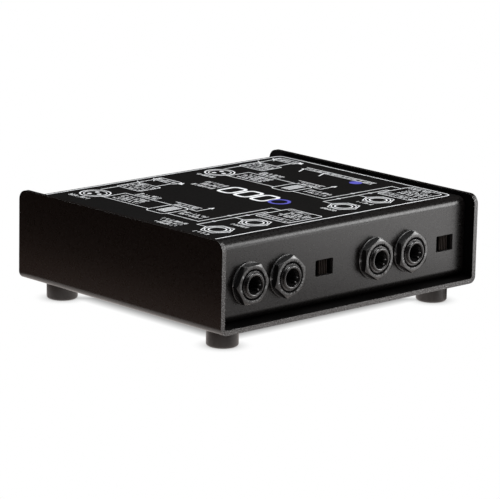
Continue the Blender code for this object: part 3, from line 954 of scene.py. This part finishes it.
class Ink:
    """Collects flat marks on the top and makes them one thin raised mesh."""

    def __init__(self, draw, shift=0.0):
        self.draw = draw
        self.shift = shift
        self.points = []
        self.faces = []

    def area(self, outline):
        """Add a filled convex outline given counterclockwise."""
        low = len(self.points)
        count = len(outline)
        for level in (0.0, INK_THICKNESS):
            self.points += [(x + self.shift, y, level) for x, y in outline]
        self.faces.append(tuple(range(low + count, low + 2 * count)))
        self.faces.append(tuple(range(low + count - 1, low - 1, -1)))
        for index in range(count):
            after = (index + 1) % count
            upper = (low + count + after, low + count + index)
            self.faces.append((low + index, low + after, *upper))

    def bar(self, start, end, width):
        """Add a straight stroke."""
        along = Vector((end[0] - start[0], end[1] - start[1])).normalized() * width / 2
        side = Vector((along.y, -along.x))
        first, last = Vector(start) - along, Vector(end) + along
        corners = [first + side, last + side, last - side, first - side]
        self.area([(corner.x, corner.y) for corner in corners])

    def line(self, path, width=THIN, closed=False):
        """Add a stroke of even width along a path, as one ring of quads."""
        count = len(path)
        sides = []
        for index, spot in enumerate(path):
            before = path[index - 1] if closed or index else path[0]
            after = path[(index + 1) % count if closed else min(index + 1, count - 1)]
            arrive = (Vector(spot) - Vector(before)).normalized()
            leave = (Vector(after) - Vector(spot)).normalized()
            along = (arrive + leave).normalized()
            reach = width / 2 / max(along.dot(leave if leave.length else arrive), 0.4)
            normal = Vector((-along.y, along.x)) * reach
            sides.append((Vector(spot) - normal, Vector(spot) + normal))
        low = len(self.points)
        for right, left in sides:
            for level in (0.0, INK_THICKNESS):
                self.points.append((right.x + self.shift, right.y, level))
                self.points.append((left.x + self.shift, left.y, level))
        for index in range(count if closed else count - 1):
            here, there = low + 4 * index, low + 4 * ((index + 1) % count)
            for first, second in ((2, 3), (3, 1), (1, 0), (0, 2)):
                self.faces.append((here + first, there + first, there + second, here + second))
        if not closed:
            last = low + 4 * (count - 1)
            self.faces.append((low, low + 1, low + 3, low + 2))
            self.faces.append((last, last + 2, last + 3, last + 1))

    def circle(self, centre, radius, width):
        """Add a ring."""
        self.line(arc(centre, radius, 0, 352.5, 47), width, closed=True)

    def dot(self, centre, radius):
        """Add a filled disc."""
        self.area(arc(centre, radius, 0, 345, 23))

    def frame(self, low, high, radius, width=THIN):
        """Add the outline of a rounded rectangle."""
        self.line(rounded_box_outline(low, high, radius), width, closed=True)

    def arrow(self, tip, way, size):
        """Add a filled arrow head that points along x."""
        back = tip[0] - way * size
        corners = [tip, (back, tip[1] + way * size / 2), (back, tip[1] - way * size / 2)]
        self.area(corners)

    def ticks(self, low, high, lines):
        """Fill a rectangle with rows of short strokes, each row running along y."""
        pitch = (high[0] - low[0]) / lines
        for row in range(lines):
            left = low[0] + pitch * (row + TICK_START)
            right = low[0] + pitch * (row + TICK_END)
            y = low[1]
            while y < high[1]:
                cut_low = self.draw.choice((0.0, 0.0, 0.0, TICK_CUT)) * (right - left)
                cut_high = self.draw.choice((0.0, 0.0, TICK_CUT)) * (right - left)
                self.bar((left + cut_low, y), (right - cut_high, y), TICK_WIDTH)
                y += self.draw.choice(TICK_SPACINGS)

    def make(self, name, level, material):
        """Make the raised mesh at a level and let it ride on the enclosure."""
        points = [(x, y, z + level) for x, y, z in self.points]
        item = make_object(name, points, self.faces)
        finish_piece(item, material)


def draw_jack_symbol(ink, centre):
    """Draw a hexagon round two rings."""
    outer, ring, hole = JACK_SYMBOL_RADII
    ink.line(hexagon(centre, outer, 30), THIN, closed=True)
    ink.circle(centre, ring, THIN)
    ink.circle(centre, hole, BOLD)


def draw_output_symbol(ink, centre):
    """Draw two rings round three dots."""
    outer, ring, dots = OUTPUT_SYMBOL_RADII
    ink.circle(centre, outer, BOLD)
    ink.circle(centre, ring, THIN)
    for place in arc(centre, dots, 30, 270, 2):
        ink.dot(place, OUTPUT_DOT)


def draw_channel(ink):
    """Draw the signal path of one channel, from its jacks to its output."""
    left_rail, right_rail = -48.4, -36.7
    draw_output_symbol(ink, (-46.4, 40.8))
    ink.ticks((-56.8, 35.0), (-53.4, 46.0), 1)

    # Output to its two tables.
    ink.line([(-40.0, 45.2), (-30.3, 45.2)])
    ink.frame((-30.3, 32.6), (-18.6, 46.4), 0.8)
    ink.ticks((-29.6, 33.6), (-19.3, 45.6), 4)
    ink.line([(-18.6, 46.6), (-5.2, 46.6)])
    ink.line([(-18.6, 35.9), (-10.2, 35.9)])
    ink.frame((-10.2, 34.6), (-5.2, 47.4), 0.8)
    ink.ticks((-9.5, 35.6), (-5.9, 46.4), 1)
    ink.line([(-20.6, 43.2), (-17.0, 49.0)])
    ink.line([(-12.0, 44.4), (-8.2, 49.0)])
    ink.arrow((-5.0, 33.4), 1, 3.0)

    # Rails down to the transformer.
    ink.line([(left_rail, 34.6), (left_rail, 6.0)])
    ink.line([(left_rail, 33.5), (right_rail, 33.5), (right_rail, 6.0)])
    ink.ticks((-46.8, 16.4), (-38.4, 31.0), 4)
    ink.ticks((-35.9, 17.4), (-30.6, 29.6), 2)
    ink.frame((-50.6, -4.8), (-36.3, 6.1), 2.2)
    for step in range(4):
        y = -1.6 + 1.35 * step
        ink.line([(-47.6, y), (-38.0, y)], BOLD)
    ink.line([(-31.6, 8.8), (-31.6, -6.6)])
    ink.ticks((-36.2, -5.6), (-32.2, 5.6), 2)
    ink.line([(right_rail, -4.8), (right_rail, -9.0), (-28.6, -9.0)])
    ink.arrow((-27.0, -9.0), 1, 2.6)

    # Rail down to the pad and the jacks.
    ink.line([(left_rail, -4.8), (left_rail, -22.9), (-9.4, -22.9), (-9.4, -28.4)])
    ink.ticks((-45.6, -19.6), (-39.4, -6.6), 2)
    ink.line([(-52.2, -31.4), (-52.2, -26.6), (-16.2, -26.6), (-16.2, -28.4)])
    ink.line([(-32.6, -26.6), (-32.6, -31.4)])
    for spot in ((-32.0, -22.9), (-43.5, -26.6), (-25.7, -26.6)):
        ink.dot(spot, 0.85)
    draw_jack_symbol(ink, (-52.1, -38.0))
    draw_jack_symbol(ink, (-32.6, -38.0))
    ink.ticks((-62.0, -42.2), (-59.0, -34.4), 1)
    ink.ticks((-42.4, -42.6), (-39.4, -33.8), 1)

    # Pad table.
    ink.frame((-23.6, -46.6), (-4.4, -28.4), 1.2)
    ink.line([(-18.9, -46.6), (-18.9, -28.4)], FINE)
    ink.ticks((-23.0, -45.6), (-19.3, -29.4), 1)
    ink.ticks((-16.8, -44.6), (-8.2, -32.4), 4)
    ink.ticks((-7.6, -41.0), (-4.9, -29.6), 1)


def build_print(materials):
    """Print the top: border, both signal paths and plain accents."""
    low, high = millimetres("top_shell")
    level = high.z + INK_LIFT
    draw = random.Random(PRINT_SEED)

    border = Ink(draw)
    border.frame((low.x + 2.2, low.y + 5.6), (high.x - 2.2, high.y - 4.4), 2.6, BOLD)
    border.make("print_border", level, materials["ink"])

    for index, channel in enumerate(CHANNELS):
        ink = Ink(draw, index * CHANNEL_PITCH)
        draw_channel(ink)
        if index == 0:
            ink.ticks((-62.2, -23.4), (-53.6, -10.4), 3)
        ink.make(f"print_{channel}_path", level, materials["ink"])

    # Three plain frames and two tick rows between the channels.
    plain = Ink(draw)
    for step in range(3):
        y = -11.4 + 9.6 * step
        plain.frame((-4.2, y), (6.6, y + 7.4), 2.4, 1.5)
    plain.ticks((-4.6, 18.6), (6.6, 30.6), 3)
    # Two long strokes and two short ones beside the right border.
    for x in (54.2, 57.4):
        plain.line([(x, -14.8), (x, 26.0)])
    plain.ticks((54.6, -14.0), (57.2, 25.4), 1)
    plain.line([(48.8, 22.0), (54.0, 24.6)], BOLD)
    plain.line([(49.0, 10.4), (54.0, 12.6)], BOLD)
    plain.make("print_plain_marks", level, materials["ink"])

    accent = Ink(draw)
    accent.circle((1.1, -16.2), 4.0, 1.4)
    accent.dot((51.6, -8.6), 2.7)
    accent.make("print_blue_accents", level, materials["ink_blue"])


# ---------------- stage


def look_from(azimuth, elevation, roll):
    """Return the right, up and back directions of a camera."""
    turn, lift, tilt = radians(azimuth), radians(elevation), radians(roll)
    back = Vector((sin(turn) * cos(lift), -cos(turn) * cos(lift), sin(lift)))
    right = Vector((cos(turn), sin(turn), 0.0))
    up = back.cross(right)
    return right * cos(tilt) + up * sin(tilt), up * cos(tilt) - right * sin(tilt), back


def place_camera(base):
    """Place the camera; base is the height of the tray's floor."""
    right, up, back = look_from(CAMERA_AZIMUTH, CAMERA_ELEVATION, CAMERA_ROLL)
    target = Vector((0.0, 0.0, base + CAMERA_TARGET_RISE))
    place = target + back * CAMERA_DISTANCE + right * CAMERA_SIDE + up * CAMERA_DROP
    camera = new_object("camera", bpy.data.cameras.new("camera"))
    camera.data.lens = CAMERA_LENS
    camera.data.sensor_width = SENSOR_WIDTH
    camera.data.sensor_fit = "HORIZONTAL"
    camera.data.clip_start = 0.05
    camera.data.clip_end = 50.0
    matrix = Matrix((right, up, back)).transposed().to_4x4()
    matrix.translation = place * METRES
    camera.matrix_world = matrix
    bpy.context.scene.camera = camera


def build_world():
    """Make a dark warm surround with a brighter ground, and a white one for the camera."""
    world = bpy.data.worlds.new("studio")
    world.use_nodes = True
    bpy.context.scene.world = world
    tree = world.node_tree
    place = node(tree, "ShaderNodeTexCoord").outputs["Generated"]
    split = node(tree, "ShaderNodeSeparateXYZ", Vector=place)
    height = spread(tree, split.outputs["Z"], 0.0, 1.0, -1.0, 1.0)
    ramp = node(tree, "ShaderNodeValToRGB", Fac=height)
    stops = (
        (0.0, (0.20, 0.16, 0.14)),
        (0.30, (0.08, 0.055, 0.045)),
        (0.42, (0.045, 0.029, 0.024)),
        (0.56, (0.014, 0.010, 0.009)),
        (0.78, (0.020, 0.016, 0.015)),
        (1.0, (0.12, 0.11, 0.11)),
    )
    elements = ramp.color_ramp.elements
    while len(elements) < len(stops):
        elements.new(0.5)
    for element, (position, colour) in zip(elements, stops):
        element.position = position
        element.color = (*colour, 1.0)
    seen = node(tree, "ShaderNodeLightPath")
    white = (1.0, 1.0, 1.0)
    colour = blend_colour(tree, seen.outputs["Is Camera Ray"], ramp.outputs["Color"], white)
    tree.links.new(colour, tree.nodes["Background"].inputs["Color"])


def build_footprint_shade(tree):
    """Return a factor that falls from 1 to a light grey deep under the box."""
    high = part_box("outer_tray")[1]
    place = node(tree, "ShaderNodeTexCoord").outputs["Object"]
    split = node(tree, "ShaderNodeSeparateXYZ", Vector=place)
    distances = []
    for axis, edge in (("X", high.x), ("Y", high.y)):
        reach = calculate(tree, "ABSOLUTE", split.outputs[axis])
        distances.append(calculate(tree, "SUBTRACT", reach, edge))
    farther = calculate(tree, "MAXIMUM", *distances)
    return spread(tree, farther, SHADE_DEEPEST, 1.0, *SHADE_SPAN)


def build_floor():
    """Make a plain white floor that darkens softly where the object stands on it."""
    mesh = bpy.data.meshes.new("floor")
    low, high = -FLOOR_HALF, FLOOR_HALF
    corners = [(low, low, 0), (high, low, 0), (high, high, 0), (low, high, 0)]
    mesh.from_pydata(corners, [], [(0, 1, 2, 3)])
    floor = new_object("floor", mesh)
    material = bpy.data.materials.new("floor_white")
    material.use_nodes = True
    tree = material.node_tree
    tree.nodes.remove(tree.nodes["Principled BSDF"])
    near = node(tree, "ShaderNodeAmbientOcclusion", Distance=CONTACT_REACH, samples=12)
    touch = spread(tree, near.outputs["AO"], CONTACT_DEEPEST, 1.0, *CONTACT_SPAN)
    shade = calculate(tree, "MULTIPLY", touch, build_footprint_shade(tree))
    glow = node(tree, "ShaderNodeEmission", Color=(1.0, 1.0, 1.0, 1.0), Strength=shade)
    tree.links.new(glow.outputs["Emission"], tree.nodes["Material Output"].inputs["Surface"])
    mesh.materials.append(material)
    for ray in ("glossy", "diffuse", "transmission", "shadow"):
        setattr(floor, f"visible_{ray}", False)


def add_light(name, place, size, power, colour):
    """Add a rectangular light; lengths are in metres."""
    light = bpy.data.lights.new(name, "AREA")
    light.shape = "RECTANGLE"
    light.size, light.size_y = size
    light.energy = power
    light.color = colour
    item = new_object(name, light)
    item.location = place
    return item


def add_softbox(name, place, size, power, colour=SOFTBOX_WHITE):
    """Add a light that shines on the box."""
    item = add_light(name, place, size, power, colour)
    aim = Vector(LIGHT_AIM) - Vector(place)
    item.rotation_euler = aim.to_track_quat("-Z", "Y").to_euler()


def add_bounce(name, low, high, radiance, colour=TABLE_WHITE):
    """Add the light that a lit part of the table sends up, between two (x, y) corners."""
    size = (high[0] - low[0], high[1] - low[1])
    place = ((low[0] + high[0]) / 2, (low[1] + high[1]) / 2, BOUNCE_LEVEL)
    item = add_light(name, place, size, radiance * pi * size[0] * size[1], colour)
    item.rotation_euler = (pi, 0.0, 0.0)


def build_lights():
    """Light the box from the upper right, with the table's glow below it."""
    add_softbox("main", (0.66, -0.52, 0.34), (0.36, 0.38), 3.2)
    add_softbox("low", (0.62, -0.62, 0.14), (0.60, 0.50), 1.6)
    add_softbox("front", (0.02, -0.52, 0.75), (0.50, 0.30), 2.4)
    add_softbox("top", (0.10, 0.0, 0.95), (0.40, 0.40), 6.5, (0.98, 0.99, 1.0))
    add_softbox("back", (-0.10, 0.95, 0.85), (0.40, 0.30), 2.0, (1.0, 0.99, 0.98))
    add_bounce("bounce_front", (-0.09, -0.50), (0.055, -0.075), 0.42)
    add_bounce("bounce_middle", (0.055, -0.50), (0.115, -0.075), 1.0)
    add_bounce("bounce_right", (0.115, -0.50), (0.45, -0.075), 2.1)
    add_bounce("bounce_under", (-0.085, -0.072), (0.07, 0.075), 1.0, (1.0, 0.93, 0.90))
    add_bounce("bounce_left", (-0.125, -0.10), (-0.087, 0.25), 0.22, (1.0, 0.66, 0.54))
    add_bounce("bounce_rear", (-0.08, 0.085), (0.35, 0.45), 0.8)


# ---------------- whole


def main():
    """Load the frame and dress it."""
    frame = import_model()
    materials = make_materials()

    build_tray(materials)
    build_shell(materials)
    build_feet(materials)
    for corner in CORNERS:
        build_screw(f"foot_screw_{corner}", "Z", 1, materials)
        build_screw(f"case_screw_{corner}", "Z", 1, materials)
    turns = iter(NUT_TURNS)
    for channel in CHANNELS:
        for jack in JACKS:
            build_jack(channel, jack, next(turns), materials)
        build_slider(f"{channel}_pad_switch_slider", f"{channel}_pad_slider", -1, materials)
        build_slider(f"{channel}_lift_switch_slider", f"{channel}_lift_slider", 1, materials)
        build_xlr(channel, materials)
        for side in ("upper", "lower"):
            build_screw(f"{channel}_xlr_screw_{side}", "Y", -1, materials)
    build_print(materials)

    carried = {
        "tip_spring": "brass",
        "switch_housing": "housing",
        "transformer_core": "core",
        "transformer_coil": "coil",
        "circuit_board": "board",
    }
    for name, item in frame["nodes"].items():
        for ending, material in carried.items():
            if name.endswith(ending):
                item.data.materials.clear()
                item.data.materials.append(materials[material])

    base = millimetres("outer_tray")[0].z
    place_camera(base)
    build_world()
    build_floor()
    build_lights()
    bpy.context.scene.view_settings.view_transform = "Standard"


main()
